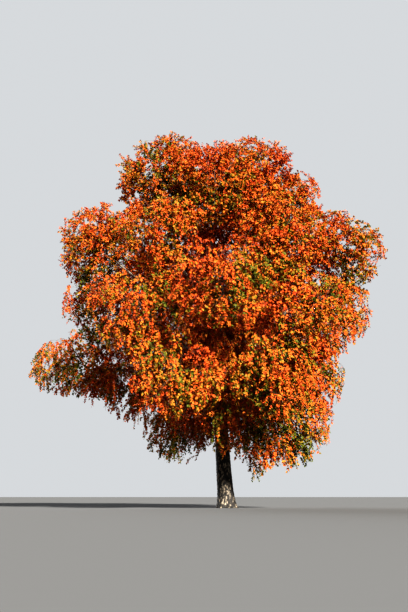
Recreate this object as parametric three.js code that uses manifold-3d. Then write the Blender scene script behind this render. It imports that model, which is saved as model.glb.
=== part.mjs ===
// A silver birch, grown in the open, in its autumn leaf.
// The trunk leans a little to the left and divides into two leaders. Tapering boughs climb out of them, and
// each limb ends where it enters a mass of leaf sprays. Each blade in a mass stands for a whole spray.
// Millimetres, +Z up, +X to the right and +Y to the back, from the middle of the flat cut at the ground.

import * as THREE from "three";
import { mergeVertices } from "three/addons/utils/BufferGeometryUtils.js";
import Module from "manifold-3d";

const wasm = await Module();
wasm.setup();

// The trunk: its middle line, from a little below the cut, its girth, and the swelling of its root flare.
const TRUNK_LINE = [
  [5, -1, -50],
  [-450, 60, 4500],
  [150, -80, 7500],
  [-1900, 0, 11350],
];
const TRUNK_RADIUS = 288;
const TRUNK_TIP_RADIUS = 42;
const TRUNK_TAPER = 0.75;
const TRUNK_SIDES = 12;
const TRUNK_RINGS = 14;
const FLARE_RADIUS = 85;
const FLARE_HEIGHT = 260;
const ROOT_RIDGES = 5;
const ROOT_RIDGE_SHARE = 0.12;

// The boughs: how they thin, how a collar swells at their foot, and how they are faceted.
const BOUGH_SIDES = 6;
const BOUGH_RINGS = 5;
const BOUGH_TIP_RADIUS = 36;
const BOUGH_TIP_SHARE = 0.7;
const BOUGH_TAPER = 0.85;
const COLLAR_SHARE = 0.25;
const COLLAR_REACH = 0.05;
const HANDLE_SHARE = 0.4;
const LINE_STEPS = 400;
const JOINT_GAP = 0.3;

// The masses: the gap at their shared borders, the stem in each, and the twigs that fan out of it.
const BORDER_GAP = 14;
const ROOM_STEP = 20;
const STEM_SIDES = 4;
const STEM_RINGS = 2;
const HEART_SHARE = 0.6;
const TWIGS = 6;
const TWIG_SIDES = 3;
const TWIG_FOOT_RADIUS = 24;
const TWIG_TIP_RADIUS = 18;
const TWIG_FIRST_FOOT = 0.96;
const TWIG_LAST_FOOT = 0.3;
const TWIG_SPREAD = 1.6;
const TWIG_TURN = 0.5;
const TWIG_REACH = 0.5;
const TWIG_LEAST = 450;
const TWIG_SEED = 211;
const GOLDEN_ANGLE = Math.PI * (3 - Math.sqrt(5));

// The sprays: one at each twig's tip, and pairs along it. Low in the crown they hang, and high up they stand.
const SPRAYS_MOST = 18;
const SPRAY_LEAST = 750;
const SPRAY_MOST = 1600;
const SPRAY_WIDTH_SHARE = 0.7;
const SPRAY_THICKNESS_SHARE = 0.03;
const SPRAY_SHOULDER = 0.42;
const SPRAY_SUNK_AT_TIP = 13;
const SPRAY_SUNK_ASIDE = 3;
const SPRAY_NECK = 70;
const SPRAY_PLACES = [1, 0.72, 0.45];
const SPRAY_OUTWARD = 0.5;
const SPRAY_SEED = 53;
const SPRAY_TRIES = 16;
const SPRAY_SWING = 1.5;
const SPRAY_TILT = 0.35;
const SPRAY_TURN = 0.75;
const APART_MOST = 900;
const LENGTH_WORTH = 0.5;
const TIP_WORTH = 250;
const TOP_WORTH = 3000;
const WEEP_AT_TOP = 0.1;
const WEEP_AT_FOOT = 1.5;
const WEEP_TOP_HEIGHT = 11500;
const WEEP_FOOT_HEIGHT = 4500;

// Corners of a surface this close are one.
const WELD = 0.001;

// Colours of the bark and of the autumn tints.
const COLOURS = {
  bark: 0x3a332c,
  pale_bark: 0x9a8c7c,
  orange: 0xd9611e,
  amber: 0xd98a2b,
  russet: 0xa8431c,
  olive: 0x8a7a2a,
};

// The masses of foliage: where the middle of each is, its half width and half depth, its rise above and drop
// below the middle, and its tint. The trunk ends in the first, and a bough of the same name in each other.
const MASSES = {
  top_left: { at: [-2300, 0, 12200], half: [1950, 1850], rise: 1800, drop: 2400, tint: "orange" },
  top_right: { at: [1000, 0, 12100], half: [2000, 1900], rise: 1620, drop: 1800, tint: "orange" },
  top_front: { at: [-400, -2400, 11000], half: [1900, 1600], rise: 1600, drop: 1900, tint: "orange" },
  top_back: { at: [-400, 2500, 11300], half: [2100, 1700], rise: 1700, drop: 1900, tint: "russet" },
  shoulder_right: { at: [2250, 100, 10950], half: [1500, 1700], rise: 1700, drop: 1700, tint: "orange" },
  right_upper: { at: [4250, 0, 9300], half: [1800, 1900], rise: 1600, drop: 1700, tint: "russet" },
  left_upper: { at: [-4600, 0, 9350], half: [1700, 1900], rise: 1850, drop: 1800, tint: "orange" },
  front_right_upper: { at: [1750, -3300, 8950], half: [1600, 1800], rise: 1500, drop: 1900, tint: "orange" },
  front_left_upper: { at: [-2250, -3200, 9050], half: [1650, 1800], rise: 1450, drop: 1900, tint: "orange" },
  back_right_upper: { at: [2300, 3500, 9200], half: [1900, 1800], rise: 1600, drop: 1900, tint: "russet" },
  back_left_upper: { at: [-2500, 3500, 9200], half: [1900, 1800], rise: 1600, drop: 1900, tint: "amber" },
  right_mid: { at: [3850, -200, 6950], half: [1500, 1800], rise: 1500, drop: 1800, tint: "orange" },
  left_mid: { at: [-4550, 200, 7300], half: [1650, 1800], rise: 1500, drop: 1750, tint: "russet" },
  front_mid: { at: [-200, -4700, 7000], half: [1900, 1600], rise: 1600, drop: 1900, tint: "orange" },
  front_right_mid: { at: [2700, -3700, 6200], half: [1700, 1600], rise: 1500, drop: 1900, tint: "orange" },
  front_left_mid: { at: [-3100, -3500, 6400], half: [1700, 1600], rise: 1500, drop: 1900, tint: "amber" },
  back_mid: { at: [0, 4700, 7000], half: [1900, 1600], rise: 1600, drop: 1900, tint: "orange" },
  back_right_mid: { at: [3100, 3400, 6600], half: [1800, 1700], rise: 1500, drop: 1900, tint: "amber" },
  back_left_mid: { at: [-3300, 3400, 6700], half: [1800, 1700], rise: 1500, drop: 1900, tint: "orange" },
  right_low: { at: [3000, 0, 4600], half: [1400, 1700], rise: 1400, drop: 1700, tint: "orange" },
  left_arm: { at: [-5200, -300, 4800], half: [2000, 1500], rise: 1650, drop: 1150, tint: "orange" },
  left_low: { at: [-3500, 200, 4350], half: [1300, 1500], rise: 1300, drop: 1500, tint: "amber" },
  front_low_right: { at: [1500, -3900, 4200], half: [1700, 1500], rise: 1400, drop: 1700, tint: "orange" },
  front_low_middle: { at: [-100, -2250, 3750], half: [1200, 1250], rise: 1500, drop: 2200, tint: "amber" },
  front_low_left: { at: [-1700, -4000, 4200], half: [1700, 1500], rise: 1400, drop: 1700, tint: "amber" },
  back_low_right: { at: [1900, 3700, 4300], half: [1800, 1500], rise: 1400, drop: 1900, tint: "olive" },
  back_low_left: { at: [-2000, 3700, 4300], half: [1800, 1500], rise: 1400, drop: 1900, tint: "amber" },
  right_skirt: { at: [2250, -800, 2900], half: [1550, 1400], rise: 1200, drop: 1700, tint: "orange" },
  left_skirt: { at: [-1700, -700, 2850], half: [1450, 1350], rise: 900, drop: 1450, tint: "olive" },
  centre_skirt: { at: [900, -1150, 2600], half: [1050, 1100], rise: 1000, drop: 1700, tint: "olive" },
};

// The boughs: the limb that each grows out of, the height at which it leaves that limb's middle line, its
// climb there and on arrival, in degrees above level, and its radius at the foot.
const BOUGHS = {
  top_right: { parent: "trunk", height: 4300, climb: 62, arrive: 78, foot: 125 },
  top_front: { parent: "trunk", height: 7900, climb: 48, arrive: 50, foot: 52 },
  top_back: { parent: "trunk", height: 7300, climb: 52, arrive: 56, foot: 56 },
  shoulder_right: { parent: "top_right", height: 7700, climb: 52, arrive: 58, foot: 54 },
  right_upper: { parent: "top_right", height: 5350, climb: 34, arrive: 50, foot: 70 },
  left_upper: { parent: "trunk", height: 5950, climb: 42, arrive: 42, foot: 68 },
  front_right_upper: { parent: "top_right", height: 6300, climb: 40, arrive: 38, foot: 48 },
  front_left_upper: { parent: "trunk", height: 6500, climb: 40, arrive: 38, foot: 56 },
  back_right_upper: { parent: "top_right", height: 5900, climb: 42, arrive: 38, foot: 58 },
  back_left_upper: { parent: "trunk", height: 6850, climb: 42, arrive: 34, foot: 58 },
  right_mid: { parent: "trunk", height: 3900, climb: 38, arrive: 30, foot: 66 },
  left_mid: { parent: "trunk", height: 4900, climb: 36, arrive: 26, foot: 60 },
  front_mid: { parent: "trunk", height: 5050, climb: 36, arrive: 18, foot: 62 },
  front_right_mid: { parent: "trunk", height: 3800, climb: 38, arrive: 12, foot: 58 },
  front_left_mid: { parent: "trunk", height: 4300, climb: 34, arrive: 16, foot: 58 },
  back_mid: { parent: "trunk", height: 4800, climb: 38, arrive: 20, foot: 62 },
  back_right_mid: { parent: "trunk", height: 4000, climb: 36, arrive: 22, foot: 58 },
  back_left_mid: { parent: "trunk", height: 4550, climb: 36, arrive: 22, foot: 58 },
  right_low: { parent: "trunk", height: 2950, climb: 36, arrive: 4, foot: 60 },
  left_arm: { parent: "trunk", height: 3350, climb: 30, arrive: -6, foot: 84 },
  left_low: { parent: "left_arm", height: 4250, climb: -2, arrive: -30, foot: 40 },
  front_low_right: { parent: "trunk", height: 3050, climb: 34, arrive: -6, foot: 78 },
  front_low_middle: { parent: "trunk", height: 2500, climb: 46, arrive: 2, foot: 46 },
  front_low_left: { parent: "trunk", height: 3500, climb: 30, arrive: -14, foot: 54 },
  back_low_right: { parent: "trunk", height: 3250, climb: 32, arrive: -10, foot: 54 },
  back_low_left: { parent: "trunk", height: 2750, climb: 38, arrive: -4, foot: 54 },
  right_skirt: { parent: "front_low_right", height: 3650, climb: -10, arrive: -46, foot: 40 },
  left_skirt: { parent: "left_arm", height: 3900, climb: -12, arrive: -50, foot: 42 },
  centre_skirt: { parent: "trunk", height: 3450, climb: 10, arrive: -62, foot: 38 },
};

const up = new THREE.Vector3(0, 0, 1);
const mix = (a, b, share) => a + (b - a) * share;

// Numbers between 0 and 1 in a fixed order, so that the tree always grows the same.
function dice(seed) {
  let state = seed >>> 0;
  return () => {
    state = (state + 0x6d2b79f5) >>> 0;
    let mixed = Math.imul(state ^ (state >>> 15), state | 1);
    mixed = (mixed + Math.imul(mixed ^ (mixed >>> 7), mixed | 61)) ^ mixed;
    return ((mixed ^ (mixed >>> 14)) >>> 0) / 4294967296;
  };
}

// A geometry's closed surface as a solid that can be joined and cut.
function solidOf(geometry) {
  const bare = geometry.clone();
  bare.deleteAttribute("normal");
  bare.deleteAttribute("uv");
  const merged = mergeVertices(bare, WELD);
  return new wasm.Manifold(
    new wasm.Mesh({
      numProp: 3,
      vertProperties: new Float32Array(merged.attributes.position.array),
      triVerts: new Uint32Array(merged.index.array),
    }),
  );
}

function geometryOf(solid) {
  const mesh = solid.getMesh();
  return new THREE.BufferGeometry()
    .setAttribute("position", new THREE.BufferAttribute(mesh.vertProperties, 3))
    .setIndex(new THREE.BufferAttribute(mesh.triVerts, 1));
}

// A tapering tube round a stretch of a line, with flat ends square to it. Each line lies in an upright plane,
// or nearly so, and the plane's normal serves every ring. radiusAt(share, angle) is the distance from it.
function tube(line, from, to, radiusAt, sides, rings) {
  const section = new THREE.Shape(
    Array.from({ length: sides }, (_, i) => {
      const angle = (2 * Math.PI * i) / sides;
      return new THREE.Vector2(Math.cos(angle), Math.sin(angle));
    }),
  );
  const shape = new THREE.ExtrudeGeometry(section, { depth: 1, steps: rings, bevelEnabled: false });
  const across = line.getPoint(1).sub(line.getPoint(0)).cross(up).normalize();
  const places = shape.attributes.position;
  for (let i = 0; i < places.count; i++) {
    const share = mix(from, to, places.getZ(i));
    const outward = line.getTangent(share).cross(across).normalize();
    const angle = Math.atan2(places.getY(i), places.getX(i));
    const radius = radiusAt(share, angle);
    const place = line
      .getPoint(share)
      .addScaledVector(across, radius * Math.cos(angle))
      .addScaledVector(outward, radius * Math.sin(angle));
    places.setXYZ(i, place.x, place.y, place.z);
  }
  return solidOf(shape);
}

// The trunk's radius falls to its tip, and swells in ridges at the ground.
const trunkLine = new THREE.CubicBezierCurve3(...TRUNK_LINE.map((place) => new THREE.Vector3(...place)));

function trunkRadius(share, angle) {
  const height = trunkLine.getPoint(share).z;
  const left = Math.max(1 - height / TRUNK_LINE[3][2], 0);
  const taper = Math.max(TRUNK_RADIUS * left ** TRUNK_TAPER, TRUNK_TIP_RADIUS);
  const flare = Math.exp(-height / FLARE_HEIGHT);
  const ridges = 1 + ROOT_RIDGE_SHARE * flare * Math.cos(ROOT_RIDGES * angle);
  return (taper + FLARE_RADIUS * flare) * ridges;
}

// A bough's radius falls from the collar at its foot to its tip.
function boughRadius(foot, share) {
  const tip = Math.min(BOUGH_TIP_RADIUS, foot * BOUGH_TIP_SHARE);
  const collar = 1 + COLLAR_SHARE * Math.exp(-share / COLLAR_REACH);
  return mix(tip, foot, (1 - share) ** BOUGH_TAPER) * collar;
}

// A bough's line leaves its parent at one climb and arrives in its mass at another, in one upright plane.
function boughLine(from, to, climb, arrive) {
  const chord = to.clone().sub(from);
  const level = chord.clone().setZ(0).normalize();
  const handle = chord.length() * HANDLE_SHARE;
  const leaning = (degrees) => {
    const angle = THREE.MathUtils.degToRad(degrees);
    return level.clone().multiplyScalar(Math.cos(angle)).addScaledVector(up, Math.sin(angle));
  };
  const after = from.clone().addScaledVector(leaning(climb), handle);
  const before = to.clone().addScaledVector(leaning(arrive), -handle);
  return new THREE.CubicBezierCurve3(from, after, before, to);
}

function pointAtHeight(line, height) {
  let step = 0;
  while (step < LINE_STEPS && line.getPoint(step / LINE_STEPS).z < height) step++;
  return line.getPoint(step / LINE_STEPS);
}

// A mass's own space is the egg round its middle, less what belongs to its neighbours. It is convex.
const masses = Object.entries(MASSES).map(([name, { at, half, rise, drop, tint }], number) => ({
  name,
  number,
  tint,
  middle: new THREE.Vector3(...at),
  half,
  rise,
  drop,
  power: ((half[0] + half[1] + (rise + drop) / 2) / 3) ** 2,
}));

function reachIn(mass, direction) {
  const tall = direction.z > 0 ? mass.rise : mass.drop;
  return 1 / Math.hypot(direction.x / mass.half[0], direction.y / mass.half[1], direction.z / tall);
}

function inSpace(mass, point) {
  const away = point.clone().sub(mass.middle);
  const distance = away.length();
  if (distance > reachIn(mass, away.normalize())) return false;
  return masses.every((other) => {
    if (other === mass) return true;
    const lead = point.distanceToSquared(other.middle) - other.power - distance ** 2 + mass.power;
    return lead / (2 * other.middle.distanceTo(mass.middle)) > BORDER_GAP;
  });
}

// How far a ray from a point stays in the mass's space.
function roomAlong(mass, from, direction, most) {
  let room = 0;
  const isRoomFor = (length) => inSpace(mass, from.clone().addScaledVector(direction, length));
  while (room + ROOM_STEP <= most && isRoomFor(room + ROOM_STEP)) room += ROOM_STEP;
  return room;
}

// Where a limb's line enters its mass's space for the last time. The limb ends there.
function shareAtEntry(mass, line) {
  let step = LINE_STEPS;
  while (step > 0 && inSpace(mass, line.getPoint((step - 1) / LINE_STEPS))) step--;
  return step / LINE_STEPS;
}

// The limbs in the order in which they grow, each with its line, its radius and where it ends.
const limbs = {};
for (const mass of masses) {
  const bough = BOUGHS[mass.name];
  let line = trunkLine;
  let radiusAt = trunkRadius;
  if (bough) {
    const foot = pointAtHeight(limbs[bough.parent].line, bough.height);
    line = boughLine(foot, mass.middle, bough.climb, bough.arrive);
    radiusAt = (share) => boughRadius(bough.foot, share);
  }
  const limb = { line, radiusAt, to: shareAtEntry(mass, line) };
  limb.sides = bough ? BOUGH_SIDES : TRUNK_SIDES;
  limb.rings = bough ? BOUGH_RINGS : TRUNK_RINGS;
  limbs[bough ? mass.name : "trunk"] = limb;
  mass.limb = limb;
}

// A limb as a solid. With room to spare round it, it cuts the feet of the boughs that it carries.
function limbSolid({ line, radiusAt, to, sides, rings }, spare) {
  const spareAtCorner = spare / Math.cos(Math.PI / sides);
  return tube(line, 0, to, (share, angle) => radiusAt(share, angle) + spareAtCorner, sides, rings);
}

// A spray: a kite-shaped blade, folded a little along its middle, from its root in a direction, facing a way.
function spray(root, direction, facing, length) {
  const blade = new THREE.TetrahedronGeometry(1).rotateZ(-Math.PI / 4);
  const places = blade.attributes.position;
  for (let i = 0; i < places.count; i++) {
    const along = Math.sign(Math.round(places.getX(i)));
    const aside = Math.sign(Math.round(places.getY(i)));
    if (aside === 0) places.setXYZ(i, along > 0 ? length : 0, 0, 0);
    else {
      const width = (aside * length * SPRAY_WIDTH_SHARE) / 2;
      places.setXYZ(i, length * SPRAY_SHOULDER, width, -length * SPRAY_THICKNESS_SHARE);
    }
  }
  const normal = facing.clone().addScaledVector(direction, -facing.dot(direction)).normalize();
  const side = normal.clone().cross(direction).normalize();
  return blade.applyMatrix4(new THREE.Matrix4().makeBasis(direction, side, normal).setPosition(root));
}

function cornersInSpace(mass, geometry) {
  const places = geometry.attributes.position;
  for (let i = 0; i < places.count; i++) {
    if (!inSpace(mass, new THREE.Vector3().fromBufferAttribute(places, i))) return false;
  }
  return true;
}

// The stem in a mass goes on from its limb's tip to the mass's middle.
function stemOf({ limb }) {
  const end = limb.line.getPoint(1);
  const gapShare = (JOINT_GAP / limb.line.getPoint(limb.to).distanceTo(end)) * (1 - limb.to);
  return { from: limb.to + gapShare, to: 1 };
}

// Where a share of a faceted stem lies, on the straight middle of its nearest facets.
function pointOnStem(line, { from, to }, share) {
  const ring = Math.min(Math.floor(share * STEM_RINGS), STEM_RINGS - 1);
  const before = line.getPoint(mix(from, to, ring / STEM_RINGS));
  return before.lerp(line.getPoint(mix(from, to, (ring + 1) / STEM_RINGS)), share * STEM_RINGS - ring);
}

// The twigs of a mass fan out of its stem in even directions, each to a share of the room that it has there.
function twigsOf(mass, stem) {
  const roll = dice(mass.number + TWIG_SEED);
  const heart = new THREE.Vector3(0, 0, mass.middle.z * HEART_SHARE);
  const outward = mass.middle.clone().sub(heart).normalize();
  const across = outward.clone().cross(up).normalize();
  const over = across.clone().cross(outward).normalize();
  const twigs = [];
  for (let k = 0; k < TWIGS; k++) {
    const cosine = 1 - (TWIG_SPREAD * k) / (TWIGS - 1);
    const sine = Math.sqrt(1 - cosine ** 2);
    const turn = k * GOLDEN_ANGLE + (roll() - 0.5) * TWIG_TURN;
    const aim = outward
      .clone()
      .multiplyScalar(cosine)
      .addScaledVector(across, sine * Math.cos(turn))
      .addScaledVector(over, sine * Math.sin(turn));
    const room = roomAlong(mass, mass.middle, aim, reachIn(mass, aim));
    const tip = mass.middle.clone().addScaledVector(aim, Math.max(room * TWIG_REACH, TWIG_LEAST));
    const foot = pointOnStem(mass.limb.line, stem, mix(TWIG_FIRST_FOOT, TWIG_LAST_FOOT, k / TWIGS));
    if (room < SPRAY_LEAST || !inSpace(mass, tip)) continue;
    twigs.push({ line: new THREE.LineCurve3(foot, tip), aim, tipWorth: k === 0 ? TOP_WORTH : TIP_WORTH });
  }
  return twigs;
}

// How steeply the sprays hang in a mass, by its height in the crown.
function weepOf({ middle }) {
  const share = (middle.z - WEEP_FOOT_HEIGHT) / (WEEP_TOP_HEIGHT - WEEP_FOOT_HEIGHT);
  return mix(WEEP_AT_FOOT, WEEP_AT_TOP, THREE.MathUtils.clamp(share, 0, 1));
}

// A mass: the stem, its twigs, and the sprays at their tips and along them. Of the ways that a spray could
// take, it takes the one that leaves it longest and furthest from the others. A twig or spray that would
// leave the space or touch a limb, and a spray that would touch another, is skipped.
function growMass(mass, wood) {
  const roll = dice(mass.number + SPRAY_SEED);
  const weep = weepOf(mass);
  const stem = stemOf(mass);
  let timber = tube(mass.limb.line, stem.from, stem.to, mass.limb.radiusAt, STEM_SIDES, STEM_RINGS);
  const twigRadius = (share) => mix(TWIG_FOOT_RADIUS, TWIG_TIP_RADIUS, share);
  const twigs = [];
  for (const twig of twigsOf(mass, stem)) {
    const solid = tube(twig.line, 0, 1, twigRadius, TWIG_SIDES, 1);
    if (!solid.intersect(wood).isEmpty()) continue;
    timber = timber.add(solid);
    twigs.push(twig);
  }

  const middles = [];
  let grown = timber;
  let sprays = null;
  const swing = (most) => (roll() * 2 - 1) * most;

  function bestSpray({ line, aim, tipWorth }, place, hand) {
    const atTip = place === 1;
    const sideways = line.getTangent(place).cross(up).normalize();
    let best = null;
    for (let attempt = 0; attempt < SPRAY_TRIES; attempt++) {
      const looseness = (SPRAY_SWING * attempt) / SPRAY_TRIES;
      const way = aim
        .clone()
        .multiplyScalar(atTip ? 1 : SPRAY_OUTWARD)
        .addScaledVector(sideways, hand + swing(looseness))
        .addScaledVector(up, swing(looseness) - weep * roll())
        .normalize();
      const turned = swing(SPRAY_TURN);
      const sunk = atTip ? SPRAY_SUNK_AT_TIP : SPRAY_SUNK_ASIDE;
      const root = line.getPoint(place).addScaledVector(way, -sunk);
      const length = roomAlong(mass, root, way, SPRAY_MOST);
      if (length < SPRAY_LEAST) continue;
      const middle = root.clone().addScaledVector(way, length * SPRAY_SHOULDER);
      const apart = Math.min(APART_MOST, ...middles.map((other) => other.distanceTo(middle)));
      const worth = apart + length * LENGTH_WORTH + (atTip ? way.dot(aim) * tipWorth : 0);
      if (best && worth <= best.worth) continue;
      const facing = middle.clone().sub(mass.middle).normalize();
      facing.z *= SPRAY_TILT;
      facing.addScaledVector(sideways, turned);
      const blade = spray(root, way, facing, length);
      if (!cornersInSpace(mass, blade)) continue;
      const solid = solidOf(blade);
      if (!solid.intersect(wood).isEmpty() || solid.intersect(timber).isEmpty()) continue;
      if (sprays && !solid.intersect(sprays).isEmpty()) continue;
      const pastNeck = root.clone().addScaledVector(way, SPRAY_NECK);
      const beyond = solidOf(spray(pastNeck, way, facing, length - SPRAY_NECK));
      if (!beyond.intersect(timber).isEmpty()) continue;
      best = { solid, middle, worth };
    }
    return best;
  }

  for (const place of SPRAY_PLACES) {
    for (const twig of twigs) {
      for (const hand of place === 1 ? [0] : [-1, 1]) {
        const best = middles.length < SPRAYS_MOST ? bestSpray(twig, place, hand) : null;
        if (!best) continue;
        sprays = sprays ? sprays.add(best.solid) : best.solid;
        grown = grown.add(best.solid);
        middles.push(best.middle);
      }
    }
  }
  return grown;
}

const birch = new THREE.Group();
const finish = {};
for (const [name, color] of Object.entries(COLOURS)) {
  finish[name] = new THREE.MeshStandardMaterial({ name, color, roughness: 0.8, metalness: 0 });
}

function addNode(name, solid, material) {
  const mesh = new THREE.Mesh(geometryOf(solid), material);
  mesh.name = name;
  birch.add(mesh);
}

// The trunk, cut flat at the ground.
const cutSize = TRUNK_RADIUS * 4;
const below = new THREE.BoxGeometry(cutSize, cutSize, cutSize).translate(0, 0, -cutSize / 2);
addNode("trunk", limbSolid(limbs.trunk, 0).subtract(solidOf(below)), finish.bark);

// The boughs, each cut clear of the limb that carries it.
let wood = limbSolid(limbs.trunk, JOINT_GAP);
for (const [name, { parent }] of Object.entries(BOUGHS)) {
  const carrier = limbSolid(limbs[parent], JOINT_GAP);
  addNode(`bough_${name}`, limbSolid(limbs[name], 0).subtract(carrier), finish.pale_bark);
  wood = wood.add(limbSolid(limbs[name], JOINT_GAP));
}

for (const mass of masses) addNode(`foliage_${mass.name}`, growMass(mass, wood), finish[mass.tint]);

export default birch;
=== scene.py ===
import math
import bpy
import numpy as np
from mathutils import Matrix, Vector, noise


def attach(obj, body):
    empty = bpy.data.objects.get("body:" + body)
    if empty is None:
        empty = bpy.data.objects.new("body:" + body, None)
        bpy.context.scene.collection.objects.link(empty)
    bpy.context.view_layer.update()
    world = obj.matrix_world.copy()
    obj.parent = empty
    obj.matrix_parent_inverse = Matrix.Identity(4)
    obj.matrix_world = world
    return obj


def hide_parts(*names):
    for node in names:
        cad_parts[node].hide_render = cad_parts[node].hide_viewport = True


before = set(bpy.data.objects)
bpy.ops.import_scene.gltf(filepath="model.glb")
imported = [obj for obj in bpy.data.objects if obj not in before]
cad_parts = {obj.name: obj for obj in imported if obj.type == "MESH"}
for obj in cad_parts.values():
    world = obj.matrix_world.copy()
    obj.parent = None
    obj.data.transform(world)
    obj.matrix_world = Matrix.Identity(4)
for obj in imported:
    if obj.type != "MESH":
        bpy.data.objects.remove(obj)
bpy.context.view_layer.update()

# The trunk is one stem of birch wood that leans to the left and swells into a root flare at its foot.
# Its bark is cracked into near-black corky plates, some of them with cream patches, and it grows
# smoother higher up.
TRUNK_LINE = np.array([
    (0.005, -0.001, -0.05), (-0.45, 0.06, 4.5), (0.15, -0.08, 7.5), (-1.9, 0.0, 11.35)])
TRUNK_RADIUS = 0.288
TRUNK_TIP_RADIUS = 0.042
TRUNK_TAPER = 0.75
TRUNK_SIDES = 72
TRUNK_STEPS = 2001
RING_RUNS = ((0, 3, 0.03), (3, 6, 0.07), (6, 11.3, 0.14))  # each from, to and how far apart
TOP_RING_HEIGHT = 11.345
LEVEL_RING_HEIGHT = 2.5
SLENDER_HEIGHTS = (9.5, 11.35)
SLENDER_SHARE = 0.5
FLARE_RADIUS = 0.085
FLARE_HEIGHT = 0.26
ROOT_RIDGES = 5
ROOT_RIDGE_SHARE = 0.12
PLATE_WIDTH = 0.052
PLATE_STRETCH = 1.9
PLATE_DEPTH = 0.02
PLATE_INSIDE = 0.7
PLATE_EDGES = (0.04, 0.4)
PLATE_WARP = 0.35
PLATE_WARP_SCALE = 9.0
PLATE_WARP_SEED = 2026
PALE_SCALE = 1.37
PALE_START = Vector((7.0, 3.0, 1.0))
SMOOTH_HEIGHT = 4.5
SMOOTH_DEPTH_SHARE = 0.2
END_PLATE = 0.5
END_PALE = 0.0
BARK_CRACK = (0.006, 0.005, 0.004)
BARK_CORK = (0.022, 0.017, 0.013)
BARK_CREAM = (0.30, 0.245, 0.18)
BARK_WHITE = (0.21, 0.175, 0.135)
BARK_ROUGHNESS = (0.7, 0.95)
GRAIN_IN_CREAM = 0.5
DASH_STRETCH = (6.0, 6.0, 45.0)
DASH_EDGES = (0.36, 0.46)
TINY = 1e-9

noise.seed_set(PLATE_WARP_SEED)
up = np.array([0.0, 0.0, 1.0])


def unit(ways):
    return ways / np.maximum(np.linalg.norm(ways, axis=-1, keepdims=True), TINY)


def mix(a, b, share):
    return a + (b - a) * share


def smooth(low, high, value):
    share = np.clip((value - low) / (high - low), 0.0, 1.0)
    return share * share * (3.0 - 2.0 * share)


def place_on(line, share):
    """Places on a cubic line."""
    t = np.atleast_1d(share)[:, None]
    a, b, c, d = line
    return a * (1 - t) ** 3 + 3 * b * t * (1 - t) ** 2 + 3 * c * t**2 * (1 - t) + d * t**3


def way_on(line, share):
    """The way that a cubic line runs there."""
    t = np.atleast_1d(share)[:, None]
    a, b, c, d = line
    return unit((b - a) * (1 - t) ** 2 + 2 * (c - b) * t * (1 - t) + (d - c) * t**2)


def trunk_radius(share, angle=None):
    """The trunk's radius at places on its line, or all round it there, with the ridges of its roots."""
    height = place_on(TRUNK_LINE, share)[:, 2]
    left = np.maximum(1 - height / TRUNK_LINE[3][2], 0)
    flare = np.exp(-height / FLARE_HEIGHT)
    taper = np.maximum(TRUNK_RADIUS * left**TRUNK_TAPER, TRUNK_TIP_RADIUS)
    plain = taper + FLARE_RADIUS * flare
    if angle is None:
        return plain
    ridges = 1 + ROOT_RIDGE_SHARE * flare[:, None] * np.cos(ROOT_RIDGES * angle[None, :])
    return plain[:, None] * ridges


def bark_plates(angles, heights, girth):
    """How far the bark stands out, from 0 in a crack to 1 on a plate, and how pale each plate is."""
    stands = np.zeros((len(heights), len(angles)))
    pale = np.zeros_like(stands)
    for i, height in enumerate(heights):
        for j, angle in enumerate(angles):
            x, y = math.cos(angle) * girth, math.sin(angle) * girth
            spot = Vector((x, y, height / PLATE_STRETCH))
            warp = noise.noise_vector(spot * PLATE_WARP_SCALE) * PLATE_WARP * PLATE_WIDTH
            near, spots = noise.voronoi((spot + warp) / PLATE_WIDTH)
            stands[i, j] = near[1] - near[0]
            pale[i, j] = noise.noise(spots[0] * PALE_SCALE + PALE_START)
    return smooth(*PLATE_EDGES, stands), pale


def skin_faces(rings, sides):
    """Triangles between rings of corners, row after row."""
    ring = np.arange(rings - 1)[:, None] * sides
    side = np.arange(sides)[None, :]
    beside = (side + 1) % sides
    a, b, c, d = ring + side, ring + beside, ring + sides + beside, ring + sides + side
    halves_of_squares = [np.stack([a, b, c], -1), np.stack([a, c, d], -1)]
    return np.concatenate([half.reshape(-1, 3) for half in halves_of_squares])


def limb_rings(line, shares, radii, angles, level=None):
    """Rings of corners round a limb, square to its line. level tells how flat each lies instead."""
    across = unit(np.cross(line[3] - line[0], up))
    way = way_on(line, shares)
    if level is not None:
        way = unit(mix(way, up, level[:, None]))
    out = unit(np.cross(way, across))
    side = unit(np.cross(out, way))
    ring = np.cos(angles)[None, :, None] * side[:, None] + np.sin(angles)[None, :, None] * out[:, None]
    return place_on(line, shares)[:, None] + ring * radii[:, :, None]


def closed_skin(rings):
    """Corners and triangles of a limb from its rings, closed by a fan at each end."""
    count, sides = rings.shape[:2]
    corners = np.concatenate([rings.reshape(-1, 3), [rings[0].mean(0), rings[-1].mean(0)]])
    side = np.arange(sides)
    beside = (side + 1) % sides
    foot = np.stack([np.full(sides, count * sides), beside, side], -1)
    last = (count - 1) * sides
    tip = np.stack([np.full(sides, count * sides + 1), last + side, last + beside], -1)
    return corners, np.concatenate([skin_faces(count, sides), foot, tip])


def with_ends(values, at_ends):
    """Numbers for the corners of a limb's rings, and then for the middles of its two ends."""
    return np.concatenate([values.ravel(), [at_ends, at_ends]])


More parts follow.
